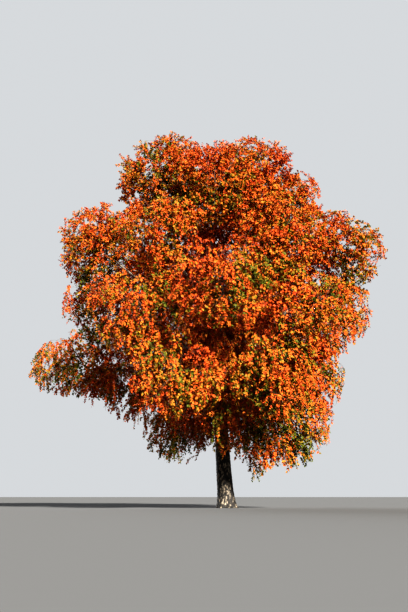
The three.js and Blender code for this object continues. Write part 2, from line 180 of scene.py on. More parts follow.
def mesh_piece(name, corners, faces, values=None, rounded=True):
    """One mesh object from arrays of corners and triangles, with numbers named at its corners."""
    mesh = bpy.data.meshes.new(name)
    mesh.vertices.add(len(corners))
    mesh.vertices.foreach_set("co", np.asarray(corners, np.float32).ravel())
    mesh.loops.add(faces.size)
    mesh.loops.foreach_set("vertex_index", np.asarray(faces, np.int32).ravel())
    mesh.polygons.add(len(faces))
    mesh.polygons.foreach_set("loop_start", np.arange(0, faces.size, 3, dtype=np.int32))
    mesh.polygons.foreach_set("use_smooth", np.full(len(faces), rounded))
    for key, numbers in (values or {}).items():
        layer = mesh.attributes.new(key, "FLOAT", "POINT")
        layer.data.foreach_set("value", np.asarray(numbers, np.float32).ravel())
    mesh.update(calc_edges=True)
    piece = bpy.data.objects.new(name, mesh)
    bpy.context.scene.collection.objects.link(piece)
    return piece


fine_shares = np.linspace(0, 1, TRUNK_STEPS)
fine_heights = place_on(TRUNK_LINE, fine_shares)[:, 2]
ring_heights = np.concatenate([*(np.arange(*run) for run in RING_RUNS), [TOP_RING_HEIGHT]])
trunk_shares = np.interp(ring_heights, fine_heights, fine_shares)
trunk_angles = np.linspace(0, 2 * math.pi, TRUNK_SIDES, endpoint=False)
plates, paleness = bark_plates(trunk_angles, ring_heights, TRUNK_RADIUS)
depth = PLATE_DEPTH * mix(1.0, SMOOTH_DEPTH_SHARE, smooth(0.0, SMOOTH_HEIGHT, ring_heights))
depth *= np.minimum(trunk_radius(trunk_shares) / TRUNK_RADIUS, 1.0)
slender = mix(1.0, SLENDER_SHARE, smooth(*SLENDER_HEIGHTS, ring_heights))
bare = trunk_radius(trunk_shares, trunk_angles) * slender[:, None]
rough_radii = bare + (plates - PLATE_INSIDE) * depth[:, None]
level = 1 - smooth(0.0, LEVEL_RING_HEIGHT, ring_heights)
trunk_rings = limb_rings(TRUNK_LINE, trunk_shares, rough_radii, trunk_angles, level)
trunk_rings[0, :, 2] = 0.0
trunk = mesh_piece("trunk_bark", *closed_skin(trunk_rings), {
    "plate": with_ends(plates, END_PLATE),
    "pale": with_ends(paleness, END_PALE),
})


def new_material(name):
    """A material, its nodes and its main shader."""
    material = bpy.data.materials.new(name)
    material.use_nodes = True
    return material, material.node_tree, material.node_tree.nodes["Principled BSDF"]


def node(tree, kind, at, **inputs):
    """A shader node with its named inputs set."""
    made = tree.nodes.new(kind)
    made.location = at
    for key, value in inputs.items():
        made.inputs[key].default_value = value
    return made


def carried(tree, at, key):
    """The number of that name at the mesh's corners."""
    made = node(tree, "ShaderNodeAttribute", at)
    made.attribute_name = key
    return made.outputs["Fac"]


def ranged(tree, at, value, start=(0.0, 1.0), end=(0.0, 1.0)):
    """A linked number moved from one range to another."""
    made = node(tree, "ShaderNodeMapRange", at)
    for key, number in zip(("From Min", "From Max", "To Min", "To Max"), (*start, *end)):
        made.inputs[key].default_value = number
    tree.links.new(value, made.inputs["Value"])
    return made.outputs["Result"]


def blended(tree, at, share, low, high):
    """A colour between two, each of them fixed or linked, by a linked share."""
    made = node(tree, "ShaderNodeMix", at)
    made.data_type = "RGBA"
    tree.links.new(share, made.inputs["Factor"])
    for socket, colour in ((made.inputs["A"], low), (made.inputs["B"], high)):
        if hasattr(colour, "is_linked"):
            tree.links.new(colour, socket)
        else:
            socket.default_value = (*colour, 1.0)
    return made.outputs["Result"]


def bark_material(name, cream, white):
    """Cork plates and cracks low down, cream patches on some plates, and whiter bark with dark
    dashes above. cream is the range of paleness, and white the range of height, where each comes."""
    material, tree, shader = new_material(name)
    link = tree.links.new
    spot = node(tree, "ShaderNodeTexCoord", (-1400, 0)).outputs["Object"]
    grain = node(tree, "ShaderNodeTexNoise", (-1200, 0), Scale=38.0, Detail=5.0, Roughness=0.65)
    link(spot, grain.inputs["Vector"])

    patchy = node(tree, "ShaderNodeMath", (-1000, 500))
    patchy.operation = "MULTIPLY_ADD"
    link(grain.outputs["Fac"], patchy.inputs[0])
    patchy.inputs[1].default_value = GRAIN_IN_CREAM
    link(carried(tree, (-1400, 500), "pale"), patchy.inputs[2])
    creamy = ranged(tree, (-800, 500), patchy.outputs["Value"], cream)
    worn = blended(tree, (-600, 400), creamy, BARK_CORK, BARK_CREAM)
    cork = blended(tree, (-400, 300), carried(tree, (-1400, 300), "plate"), BARK_CRACK, worn)

    flat = node(tree, "ShaderNodeMapping", (-1400, -300), Scale=DASH_STRETCH)
    link(spot, flat.inputs["Vector"])
    dashes = node(tree, "ShaderNodeTexNoise", (-1200, -300), Scale=1.6, Detail=2.0)
    link(flat.outputs["Vector"], dashes.inputs["Vector"])
    between = ranged(tree, (-1000, -300), dashes.outputs["Fac"], DASH_EDGES)
    dashed = blended(tree, (-600, -300), between, BARK_CRACK, BARK_WHITE)

    height = node(tree, "ShaderNodeSeparateXYZ", (-1200, -600))
    link(spot, height.inputs["Vector"])
    whiter = ranged(tree, (-1000, -600), height.outputs["Z"], white)
    link(blended(tree, (-200, 200), whiter, cork, dashed), shader.inputs["Base Color"])
    rough = ranged(tree, (-200, -200), grain.outputs["Fac"], end=BARK_ROUGHNESS)
    link(rough, shader.inputs["Roughness"])
    bump = node(tree, "ShaderNodeBump", (-200, -400), Strength=0.5, Distance=0.006)
    link(grain.outputs["Fac"], bump.inputs["Height"])
    link(bump.outputs["Normal"], shader.inputs["Normal"])
    return material


trunk.data.materials.append(bark_material("cracked bark", cream=(0.24, 0.38), white=(3.4, 6.5)))
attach(trunk, "root")
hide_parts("trunk")

# The boughs are tapering limbs of the same wood that climb out of the trunk and out of each other,
# grown together with them at a swollen collar. Each runs on as a stem into its own mass of twigs.
HANDLE_SHARE = 0.4
LINE_STEPS = 400
LENGTH_STEPS = 50
BORDER_GAP = 0.014
BOUGH_TIP_RADIUS = 0.036
BOUGH_TIP_SHARE = 0.7
BOUGH_TAPER = 0.85
BOUGH_SIDES = 12
BOUGH_RING_SPACING = 0.12
BOUGH_RINGS_LEAST = 8
BOUGH_PLATE_SQUASH = 1.7
BOUGH_PLATE_GIRTH = 0.11
BOUGH_RELIEF = 0.13
BOUGH_RELIEF_INSIDE = 0.6
COLLAR_SHARE = 0.25
COLLAR_REACH = 0.05
STEM_END_SHARE = 0.4

# Each mass of twigs and leaves: its middle, its half width and half depth, its rise above the middle
# and its drop below.
MASSES = {
    "top_left": ((-2.3, 0, 12.2), (1.95, 1.85), 1.8, 2.4),
    "top_right": ((1.0, 0, 12.1), (2.0, 1.9), 1.62, 1.8),
    "top_front": ((-0.4, -2.4, 11.0), (1.9, 1.6), 1.6, 1.9),
    "top_back": ((-0.4, 2.5, 11.3), (2.1, 1.7), 1.7, 1.9),
    "shoulder_right": ((2.25, 0.1, 10.95), (1.5, 1.7), 1.7, 1.7),
    "right_upper": ((4.25, 0, 9.3), (1.8, 1.9), 1.6, 1.7),
    "left_upper": ((-4.6, 0, 9.35), (1.7, 1.9), 1.85, 1.8),
    "front_right_upper": ((1.75, -3.3, 8.95), (1.6, 1.8), 1.5, 1.9),
    "front_left_upper": ((-2.25, -3.2, 9.05), (1.65, 1.8), 1.45, 1.9),
    "back_right_upper": ((2.3, 3.5, 9.2), (1.9, 1.8), 1.6, 1.9),
    "back_left_upper": ((-2.5, 3.5, 9.2), (1.9, 1.8), 1.6, 1.9),
    "right_mid": ((3.85, -0.2, 6.95), (1.5, 1.8), 1.5, 1.8),
    "left_mid": ((-4.55, 0.2, 7.3), (1.65, 1.8), 1.5, 1.75),
    "front_mid": ((-0.2, -4.7, 7.0), (1.9, 1.6), 1.6, 1.9),
    "front_right_mid": ((2.7, -3.7, 6.2), (1.7, 1.6), 1.5, 1.9),
    "front_left_mid": ((-3.1, -3.5, 6.4), (1.7, 1.6), 1.5, 1.9),
    "back_mid": ((0, 4.7, 7.0), (1.9, 1.6), 1.6, 1.9),
    "back_right_mid": ((3.1, 3.4, 6.6), (1.8, 1.7), 1.5, 1.9),
    "back_left_mid": ((-3.3, 3.4, 6.7), (1.8, 1.7), 1.5, 1.9),
    "right_low": ((3.0, 0, 4.6), (1.4, 1.7), 1.4, 1.7),
    "left_arm": ((-5.2, -0.3, 4.8), (2.0, 1.5), 1.65, 1.15),
    "left_low": ((-3.5, 0.2, 4.35), (1.3, 1.5), 1.3, 1.5),
    "front_low_right": ((1.5, -3.9, 4.2), (1.7, 1.5), 1.4, 1.7),
    "front_low_middle": ((-0.1, -2.25, 3.75), (1.2, 1.25), 1.5, 2.2),
    "front_low_left": ((-1.7, -4.0, 4.2), (1.7, 1.5), 1.4, 1.7),
    "back_low_right": ((1.9, 3.7, 4.3), (1.8, 1.5), 1.4, 1.9),
    "back_low_left": ((-2.0, 3.7, 4.3), (1.8, 1.5), 1.4, 1.9),
    "right_skirt": ((2.25, -0.8, 2.9), (1.55, 1.4), 1.2, 1.7),
    "left_skirt": ((-1.7, -0.7, 2.85), (1.45, 1.35), 0.9, 1.45),
    "centre_skirt": ((0.9, -1.15, 2.6), (1.05, 1.1), 1.0, 1.7),
}

# Each bough: the limb it grows out of, the height where it leaves that limb, its climb there and on
# arrival, in degrees above level, and its radius at the foot.
BOUGHS = {
    "top_right": ("trunk", 4.3, 62, 78, 0.125),
    "top_front": ("trunk", 7.9, 48, 50, 0.052),
    "top_back": ("trunk", 7.3, 52, 56, 0.056),
    "shoulder_right": ("top_right", 7.7, 52, 58, 0.054),
    "right_upper": ("top_right", 5.35, 34, 50, 0.070),
    "left_upper": ("trunk", 5.95, 42, 42, 0.068),
    "front_right_upper": ("top_right", 6.3, 40, 38, 0.048),
    "front_left_upper": ("trunk", 6.5, 40, 38, 0.056),
    "back_right_upper": ("top_right", 5.9, 42, 38, 0.058),
    "back_left_upper": ("trunk", 6.85, 42, 34, 0.058),
    "right_mid": ("trunk", 3.9, 38, 30, 0.066),
    "left_mid": ("trunk", 4.9, 36, 26, 0.060),
    "front_mid": ("trunk", 5.05, 36, 18, 0.062),
    "front_right_mid": ("trunk", 3.8, 38, 12, 0.058),
    "front_left_mid": ("trunk", 4.3, 34, 16, 0.058),
    "back_mid": ("trunk", 4.8, 38, 20, 0.062),
    "back_right_mid": ("trunk", 4.0, 36, 22, 0.058),
    "back_left_mid": ("trunk", 4.55, 36, 22, 0.058),
    "right_low": ("trunk", 2.95, 36, 4, 0.060),
    "left_arm": ("trunk", 3.35, 30, -6, 0.084),
    "left_low": ("left_arm", 4.25, -2, -30, 0.040),
    "front_low_right": ("trunk", 3.05, 34, -6, 0.078),
    "front_low_middle": ("trunk", 2.5, 46, 2, 0.046),
    "front_low_left": ("trunk", 3.5, 30, -14, 0.054),
    "back_low_right": ("trunk", 3.25, 32, -10, 0.054),
    "back_low_left": ("trunk", 2.75, 38, -4, 0.054),
    "right_skirt": ("front_low_right", 3.65, -10, -46, 0.040),
    "left_skirt": ("left_arm", 3.9, -12, -50, 0.042),
    "centre_skirt": ("trunk", 3.45, 10, -62, 0.038),
}

# A mass's power is the square of its mean reach. The border between two masses lies nearer to the
# one with less power.
names = list(MASSES)
middles = np.array([MASSES[n][0] for n in names], float)
halves = np.array([MASSES[n][1] for n in names])
rises = np.array([MASSES[n][2] for n in names])
drops = np.array([MASSES[n][3] for n in names])
powers = ((halves.sum(1) + (rises + drops) / 2) / 3) ** 2
spacings = np.linalg.norm(middles[:, None] - middles[None], axis=-1) + np.eye(len(names))
line_steps = np.arange(LINE_STEPS + 1) / LINE_STEPS


def reach_in(mass, ways):
    """How far a mass reaches from its middle in some ways. It is an egg, blunter above than below."""
    tall = np.where(ways[..., 2] > 0, rises[mass], drops[mass])
    spans = np.stack(np.broadcast_arrays(halves[mass, 0], halves[mass, 1], tall), -1)
    return 1 / np.maximum(np.linalg.norm(ways / spans, axis=-1), TINY)


def in_space(mass, places, overlap=0.0, swell=1.0):
    """Whether places are in their mass's own space, or no further than overlap into its neighbours'."""
    mass = np.broadcast_to(mass, len(places))
    away = places - middles[mass]
    distance = np.linalg.norm(away, axis=-1)
    inside = distance <= reach_in(mass, unit(away)) * swell
    own = distance**2 - powers[mass]
    theirs = ((places[:, None] - middles[None]) ** 2).sum(-1) - powers
    ahead = (theirs - own[:, None]) / (2 * spacings[mass]) > BORDER_GAP - overlap
    ahead[np.arange(len(places)), mass] = True
    return inside & ahead.all(1)


def bough_radius(foot, share):
    """A bough's radius along it, from a swollen collar to its tip."""
    tip = min(BOUGH_TIP_RADIUS, foot * BOUGH_TIP_SHARE)
    collar = 1 + COLLAR_SHARE * np.exp(-share / COLLAR_REACH)
    return mix(tip, foot, (1 - share) ** BOUGH_TAPER) * collar


def bough_line(start, end, climb, arrive):
    """A cubic line between two places, with its climb at each."""
    chord = end - start
    ahead = unit(chord * (1, 1, 0))
    handle = np.linalg.norm(chord) * HANDLE_SHARE
    leaving, coming = (
        ahead * math.cos(math.radians(a)) + up * math.sin(math.radians(a)) for a in (climb, arrive))
    return np.array([start, start + leaving * handle, end - coming * handle, end])


def share_at_entry(mass, line):
    """Where a limb's line enters its mass's space for the last time."""
    outside = np.flatnonzero(~in_space(mass, place_on(line, line_steps)))
    return line_steps[outside[-1] + 1] if len(outside) else 0.0


limb_lines = {"trunk": TRUNK_LINE}
limb_of_mass = {}
bough_corners, bough_faces, bough_plates, bough_pale = [], [], [], []
bough_angles = np.linspace(0, 2 * math.pi, BOUGH_SIDES, endpoint=False)
for number, name in enumerate(names):
    if name not in BOUGHS:
        limb_of_mass[name] = ("trunk", share_at_entry(number, TRUNK_LINE))
        continue
    parent, height, climb, arrive, foot = BOUGHS[name]
    steps = place_on(limb_lines[parent], line_steps)
    start = steps[np.argmax(steps[:, 2] >= height)]
    line = bough_line(start, middles[number], climb, arrive)
    limb_lines[name] = line
    entry = share_at_entry(number, line)
    limb_of_mass[name] = (name, entry)
    strides = np.diff(place_on(line, np.linspace(0, 1, LENGTH_STEPS)), axis=0)
    length = np.linalg.norm(strides, axis=1).sum()
    shares = np.linspace(0, 1, max(int(length / BOUGH_RING_SPACING), BOUGH_RINGS_LEAST))
    radii = bough_radius(foot, shares) * mix(1.0, STEM_END_SHARE, smooth(entry, 1.0, shares))
    heights = shares * length * BOUGH_PLATE_SQUASH + number
    stands, pale = bark_plates(bough_angles, heights, BOUGH_PLATE_GIRTH)
    ridged = radii[:, None] * (1 + BOUGH_RELIEF * (stands - BOUGH_RELIEF_INSIDE))
    corners, faces = closed_skin(limb_rings(line, shares, ridged, bough_angles))
    bough_faces.append(faces + sum(map(len, bough_corners)))
    bough_corners.append(corners)
    bough_plates.append(with_ends(stands, END_PLATE))
    bough_pale.append(with_ends(pale, END_PALE))
boughs = mesh_piece("boughs_bark", np.concatenate(bough_corners), np.concatenate(bough_faces), {
    "plate": np.concatenate(bough_plates),
    "pale": np.concatenate(bough_pale),
})
boughs.data.materials.append(bark_material("limb bark", cream=(0.2, 0.42), white=(2.5, 8.0)))
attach(boughs, "root")
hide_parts(*[f"bough_{name}" for name in BOUGHS])

# The main twigs fan out of the stem in each mass, and side twigs leave them for every part of its
# space. They are thin brown wood, each grown out of the one before it. Short shoots leave the limbs
# inside the crown as well.
MAIN_TWIGS = 6
MAIN_TWIG_FEET = (0.96, 0.3)
MAIN_TWIG_SPREAD = 1.6
MAIN_TWIG_TURN = 0.5
MAIN_TWIG_SEED = 211
MAIN_TWIG_REACH = 0.8
MAIN_TWIG_LEAST = 0.3
MAIN_TWIG_ARCH = 0.12
MAIN_TWIG_RADII = (0.017, 0.007)
MAIN_TWIG_STATIONS = 9
MAIN_TWIG_SIDES = 6
FIRST_FORK = 2
GOLDEN_ANGLE = math.pi * (3 - math.sqrt(5))
HEART_SHARE = 0.6
ROOM_STEP = 0.02
STEM_THICKNESS = 0.02

GROWTH_SEED = 2026
SIDE_TWIG_TRIES = 900
SIDE_TWIG_SPACING = 0.42
SIDE_TWIG_OVERLAP = 0.05
SIDE_TWIG_SWELL = 0.93
SIDE_TWIG_FORKS = 4
SIDE_TWIG_STATIONS = 4
SIDE_TWIG_SIDES = 3
SIDE_TWIG_RADII = (0.0035, 0.009)
SIDE_TWIG_SHARE = 0.75
SIDE_TWIG_FORK_SHARE = 0.6
SIDE_TWIG_TIP_SHARE = 0.5
SIDE_TWIG_ALONG = 0.5
SIDE_TWIG_AHEAD = 0.8
SIDE_TWIG_RISE = 0.15
SIDE_TWIG_BEND = 0.55
TURN_COST = 0.5
CROWDED = 0.12
CROWDED_COST = 5.0
INNER_SHARES = (0.6, 0.95)
INNER_HEIGHTS = (7.0, 10.5)
OPEN_PULL = 2.2
OPEN_DISTANCES = (0.6, 1.3)
WEEP_TOP_HEIGHT = 11.5
WEEP_FOOT_HEIGHT = 4.5

INNER_SHOOT_STEP = 0.14
INNER_SHOOT_STRAY = 0.3
INNER_SHOOT_LENGTHS = (0.7, 1.5)
INNER_SHOOT_ALONG = 0.5
INNER_SHOOT_RISE = 0.3
INNER_SHOOT_DROOP = 0.4
TRUNK_SHOOT_SPAN = (0.3, 0.8)
BOUGH_SHOOT_START = 0.12
NO_MASS = -1

TWIG_DARK = (0.045, 0.026, 0.018)
TWIG_LIGHT = (0.13, 0.085, 0.06)
TWIG_ROUGHNESS = 0.7
UNLIKELY_WAY = np.array([0.31, 0.17, 0.94])

rng = np.random.default_rng(GROWTH_SEED)
foliage_nodes = [f"foliage_{name}" for name in names]


def dice(seed):
    """Numbers between 0 and 1 in a fixed order, the same as in the solids."""
    state = seed

    def roll():
        nonlocal state
        whole = 0xFFFFFFFF
        state = (state + 0x6D2B79F5) & whole
        mixed = ((state ^ (state >> 15)) * (state | 1)) & whole
        mixed = ((mixed + (((mixed ^ (mixed >> 7)) * (mixed | 61)) & whole)) & whole) ^ mixed
        return (mixed ^ (mixed >> 14)) / 4294967296

    return roll


def room_along(mass, start, way, most):
    """How far a mass's own space goes on in one way."""
    lengths = np.arange(ROOM_STEP, most, ROOM_STEP)
    clear = in_space(mass, start + lengths[:, None] * way)
    return lengths[np.argmin(clear) - 1] if not clear.all() else lengths[-1]


def main_twigs(number):
    """The main twigs of a mass: where each leaves the stem, and where it ends."""
    limb, entry = limb_of_mass[names[number]]
    roll = dice(number + MAIN_TWIG_SEED)
    middle = middles[number]
    outward = unit(middle - up * middle[2] * HEART_SHARE)
    across = unit(np.cross(outward, up))
    over = unit(np.cross(across, outward))
    made = []
    for k in range(MAIN_TWIGS):
        cosine = 1 - MAIN_TWIG_SPREAD * k / (MAIN_TWIGS - 1)
        sine = math.sqrt(1 - cosine**2)
        turn = k * GOLDEN_ANGLE + (roll() - 0.5) * MAIN_TWIG_TURN
        aim = outward * cosine + across * sine * math.cos(turn) + over * sine * math.sin(turn)
        reach = reach_in(np.array([number]), aim[None])[0]
        room = room_along(number, middle, aim, reach)
        foot_share = mix(entry, 1.0, mix(*MAIN_TWIG_FEET, k / MAIN_TWIGS))
        foot = place_on(limb_lines[limb], foot_share)[0]
        made.append((foot, middle + aim * room * MAIN_TWIG_REACH))
    return made


def how_weeping(heights):
    """From 0 at the top of the crown, where twigs stand, to 1 at its foot, where they hang."""
    return np.clip((WEEP_TOP_HEIGHT - heights) / (WEEP_TOP_HEIGHT - WEEP_FOOT_HEIGHT), 0, 1)


def how_open(places):
    """The share of the ways out of each place that soon leave the crown."""
    turns = (-1, 0, 1)
    rays = unit(np.array([(x, y, z) for x in turns for y in turns for z in turns if x or y or z]))
    out = np.zeros(len(places))
    for way in rays:
        for distance in OPEN_DISTANCES:
            away = (places + way * distance)[:, None] - middles[None]
            reach = reach_in(np.arange(len(names)), unit(away))
            inside = np.linalg.norm(away, axis=-1) <= reach
            out += ~inside.any(1)
    return out / (len(rays) * len(OPEN_DISTANCES))


def side_twig_ends(number):
    """Where the side twigs of a mass end: all through its space, and closer where it is open."""
    low = middles[number] - np.array([*halves[number], drops[number]])
    high = middles[number] + np.array([*halves[number], rises[number]])
    tries = rng.uniform(low, high, (SIDE_TWIG_TRIES, 3))
    tries = tries[in_space(number, tries, SIDE_TWIG_OVERLAP, SIDE_TWIG_SWELL)]
    inner = mix(*INNER_SHARES, smooth(*INNER_HEIGHTS, tries[:, 2]))
    wanted = rng.random(len(tries)) < inner + OPEN_PULL * how_open(tries)
    found = np.empty((0, 3))
    for spot in tries[wanted]:
        if not len(found) or np.linalg.norm(found - spot, axis=1).min() > SIDE_TWIG_SPACING:
            found = np.vstack([found, spot])
    return found


def twig_curve(a, b, c, t):
    """Places on curves of three points each."""
    return a * (1 - t) ** 2 + 2 * b * t * (1 - t) + c * t**2


def bent_down(foot, aim, length, droop):
    """The bend and the end of shoots that set out one way and then droop."""
    bend = foot + aim * length * 0.5
    return bend, bend + unit(aim - up * droop) * length * 0.5


def twig_tubes(points, radii, sides):
    """Corners and triangles of many twigs. points is (twigs, stations, 3), and each ends in a point."""
    count, stations = points.shape[:2]
    way = unit(np.gradient(points, axis=1))
    across = unit(np.cross(way, unit(UNLIKELY_WAY)))
    over = np.cross(way, across)
    angles = np.arange(sides) * 2 * math.pi / sides
    ring = np.cos(angles)[:, None] * across[:, :, None] + np.sin(angles)[:, None] * over[:, :, None]
    rings = (points[:, :, None] + ring * radii[:, :, None, None])[:, :-1].reshape(count, -1, 3)
    corners = np.concatenate([rings, points[:, -1:]], axis=1)
    each = corners.shape[1]
    side = np.arange(sides)
    last = each - 1 - sides
    tip = np.stack([last + side, last + (side + 1) % sides, np.full(sides, each - 1)], -1)
    faces = np.concatenate([skin_faces(stations - 1, sides), tip])
    first = (np.arange(count) * each)[:, None, None]
    return corners.reshape(-1, 3), (faces[None] + first).reshape(-1, 3)


main_points, main_radii = [], []
side_start, side_bend, side_end, side_mass, side_thick = [], [], [], [], []
main_shares = np.linspace(0, 1, MAIN_TWIG_STATIONS)[:, None]
side_shares = np.linspace(0, 1, SIDE_TWIG_FORKS + 1)[:, None]
for number, name in enumerate(names):
    limb, entry = limb_of_mass[name]
    stem_shares = np.linspace(entry, 1.0, MAIN_TWIG_STATIONS)
    spots = [place_on(limb_lines[limb], stem_shares)]
    ways = [way_on(limb_lines[limb], stem_shares)]
    thick = [np.full(MAIN_TWIG_STATIONS, STEM_THICKNESS)]
    for foot, tip in main_twigs(number):
        length = np.linalg.norm(tip - foot)
        if length < MAIN_TWIG_LEAST:
            continue
        bend = mix(foot, tip, 0.5) + up * MAIN_TWIG_ARCH * length
        points = twig_curve(foot, bend, tip, main_shares)
        main_points.append(points)
        main_radii.append(mix(*MAIN_TWIG_RADII, main_shares[:, 0]))
        spots.append(points[FIRST_FORK:])
        ways.append(unit(np.gradient(points, axis=0))[FIRST_FORK:])
        thick.append(main_radii[-1][FIRST_FORK:])
    spots, ways, thick = np.concatenate(spots), np.concatenate(ways), np.concatenate(thick)

    ends = side_twig_ends(number)
    nearest_first = np.argsort(np.linalg.norm(ends[:, None] - spots[None], axis=-1).min(1))
    for end in ends[nearest_first]:
        chord = end - spots
        distance = np.linalg.norm(chord, axis=1)
        cosine = (chord * ways).sum(1) / np.maximum(distance, TINY)
        cost = distance * (1 + TURN_COST - TURN_COST * cosine) + CROWDED_COST * (distance < CROWDED)
        best = np.argmin(cost)
        start = spots[best]
        ahead = chord[best] / distance[best]
        first = unit(ways[best] * SIDE_TWIG_ALONG + ahead * SIDE_TWIG_AHEAD + up * SIDE_TWIG_RISE)
        bend = start + first * distance[best] * SIDE_TWIG_BEND
        points = twig_curve(start, bend, end, side_shares)
        radius = np.clip(thick[best] * SIDE_TWIG_SHARE, *SIDE_TWIG_RADII)
        side_start.append(start)
        side_bend.append(bend)
        side_end.append(end)
        side_mass.append(number)
        side_thick.append(radius)
        spots = np.vstack([spots, points[1:]])
        ways = np.vstack([ways, unit(np.gradient(points, axis=0))[1:]])
        thinner = mix(radius, radius * SIDE_TWIG_FORK_SHARE, side_shares[1:, 0])
        thick = np.concatenate([thick, thinner])

for name, line in limb_lines.items():
    span = TRUNK_SHOOT_SPAN if name == "trunk" else (BOUGH_SHOOT_START, limb_of_mass[name][1])
    length = np.linalg.norm(line[3] - line[0])
    shares = np.arange(*span, INNER_SHOOT_STEP / length)
    stray = rng.normal(0, INNER_SHOOT_STRAY, len(shares)) * INNER_SHOOT_STEP / length
    shares = np.clip(shares + stray, *span)
    starts = place_on(line, shares)
    any_way = rng.normal(0, 1, starts.shape)
    ways = unit(any_way + way_on(line, shares) * INNER_SHOOT_ALONG + up * INNER_SHOOT_RISE)
    lengths = rng.uniform(*INNER_SHOOT_LENGTHS, (len(shares), 1))
    bends, ends = bent_down(starts, ways, lengths, INNER_SHOOT_DROOP)
    side_start.extend(starts)
    side_bend.extend(bends)
    side_end.extend(ends)
    side_mass.extend([NO_MASS] * len(shares))
    side_thick.extend([SIDE_TWIG_RADII[0]] * len(shares))
side_start, side_bend, side_end, side_mass, side_thick = map(
    np.array, (side_start, side_bend, side_end, side_mass, side_thick))


def twig_material(name, dark, light):
    """Thin brown bark, lighter in patches."""
    material, tree, shader = new_material(name)
    spot = node(tree, "ShaderNodeTexCoord", (-900, 0)).outputs["Object"]
    patches = node(tree, "ShaderNodeTexNoise", (-700, 0), Scale=7.0, Detail=3.0)
    tree.links.new(spot, patches.inputs["Vector"])
    colour = blended(tree, (-400, 100), patches.outputs["Fac"], dark, light)
    tree.links.new(colour, shader.inputs["Base Color"])
    shader.inputs["Roughness"].default_value = TWIG_ROUGHNESS
    return material


stations = np.linspace(0, 1, SIDE_TWIG_STATIONS)
side_points = twig_curve(
    side_start[:, None], side_bend[:, None], side_end[:, None], stations[None, :, None])
side_radii = side_thick[:, None] * mix(1.0, SIDE_TWIG_TIP_SHARE, stations)[None]
twig_bark = twig_material("twig bark", TWIG_DARK, TWIG_LIGHT)
for name, points, radii, sides in (
    ("main_twigs", np.array(main_points), np.array(main_radii), MAIN_TWIG_SIDES),
    ("side_twigs", side_points, side_radii, SIDE_TWIG_SIDES),
):
    twigs = mesh_piece(name, *twig_tubes(points, radii, sides))
    twigs.data.materials.append(twig_bark)
    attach(twigs, "root")
    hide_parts(*foliage_nodes)

# The fine twigs are thread-thin red-brown shoots, set round each side twig. High up they stand out,
# and lower down they hang in long strands, as they do on a weeping birch.
FINE_TWIG_STEPS = (0.058, 0.082)
FINE_TWIG_COUNTS = (6, 14)
FINE_TWIG_FIRST = 0.25
FINE_TWIG_LENGTHS = (0.38, 0.80)
FINE_TWIG_VARIETY = (0.7, 1.25)
FINE_TWIG_CUTS = (1.0, 0.8, 0.6, 0.4)
FINE_TWIG_OVERLAP = 0.25
FINE_TWIG_RADII = 0.0032 * np.array([1.0, 0.8, 0.45])
FINE_TWIG_SIDES = 3
FINE_TWIG_ALONG = 0.55
FINE_TWIG_ASIDE = 0.85
TIP_TWIG_ASIDE = 0.25
FINE_TWIG_OUTWARD = 0.3
FINE_TWIG_STRAY = 0.12
FINE_TWIG_DROOP = 0.6
FINE_TWIG_HANG = 2.6
FINE_TWIG_LEVELLING = 0.55
SHOOT_DARK = (0.05, 0.022, 0.015)
SHOOT_LIGHT = (0.11, 0.05, 0.03)
CROWN_MIDDLE = np.array([-0.3, 0.0, 0.0])
NUDGE = 1e-6

# How far out the twigs of a mass may end, as shares of its reach. The edge is ragged, and fuller at
# the top, at the upper left and in the lowest strands.
RAGGED_LIMITS = (0.85, 0.985)
RAGGED_SIZE = 0.55
RAGGED_SLOPE = 1.3
RAGGED_STRAY = 0.15
FULLER_TOP = 0.06
FULLER_TOP_HEIGHTS = (10.0, 11.5)
FULLER_LEFT = 0.05
FULLER_LEFT_REACH = (3.0, 4.5)
FULLER_LEFT_HEIGHTS = (6.5, 7.5)
FULLER_FOOT = 0.06
FULLER_FOOT_HEIGHTS = (1.5, 3.0)

# Gaps without fine twigs show the dark inside of the crown. They are tall and narrow, fewer higher
# up, and none is deep inside, at the very edge or on the tip of the left arm.
GAP_SIZE = np.array([0.5, 0.5, 1.2])
GAP_START = np.array([3.7, 1.3, 0.6])
GAP_LEVELS = (-0.05, -0.34)
GAP_HEIGHTS = (7.5, 11.5)
GAP_OPENNESS_LEAST = 0.12
GAP_OPENNESS_MOST = (0.85, 0.5)
GAP_OPENNESS_HEIGHTS = (6.0, 9.0)
GAP_LEFT_END = -6.0


def dealt_out(counts):
    """For so many shoots on each twig: the twig that each is on, and its number there."""
    return np.repeat(np.arange(len(counts)), counts), np.concatenate([np.arange(n) for n in counts])


def curve_way(a, b, c, t):
    """The way that curves of three points each run there."""
    return unit(mix(b - a, c - b, t))


def turned_off(way, owner, place_no):
    """Ways square to each twig, one after another turned on by the golden angle."""
    across = unit(np.cross(way, up) + NUDGE)
    over = np.cross(across, way)
    first = rng.uniform(0, 2 * math.pi, owner[-1] + 1)
    turn = (place_no * GOLDEN_ANGLE + first[owner])[:, None]
    return across * np.cos(turn) + over * np.sin(turn)


def out_of_crown(places, levelling):
    """Ways from the heart of the crown. levelling takes that share of the height off them."""
    return unit(places - CROWN_MIDDLE - up * places[:, 2:] * levelling)


def noise_at(places, size=1.0):
    """Smooth noise between about -1 and 1 at each place."""
    return np.array([noise.noise(Vector(place) / size) for place in places])


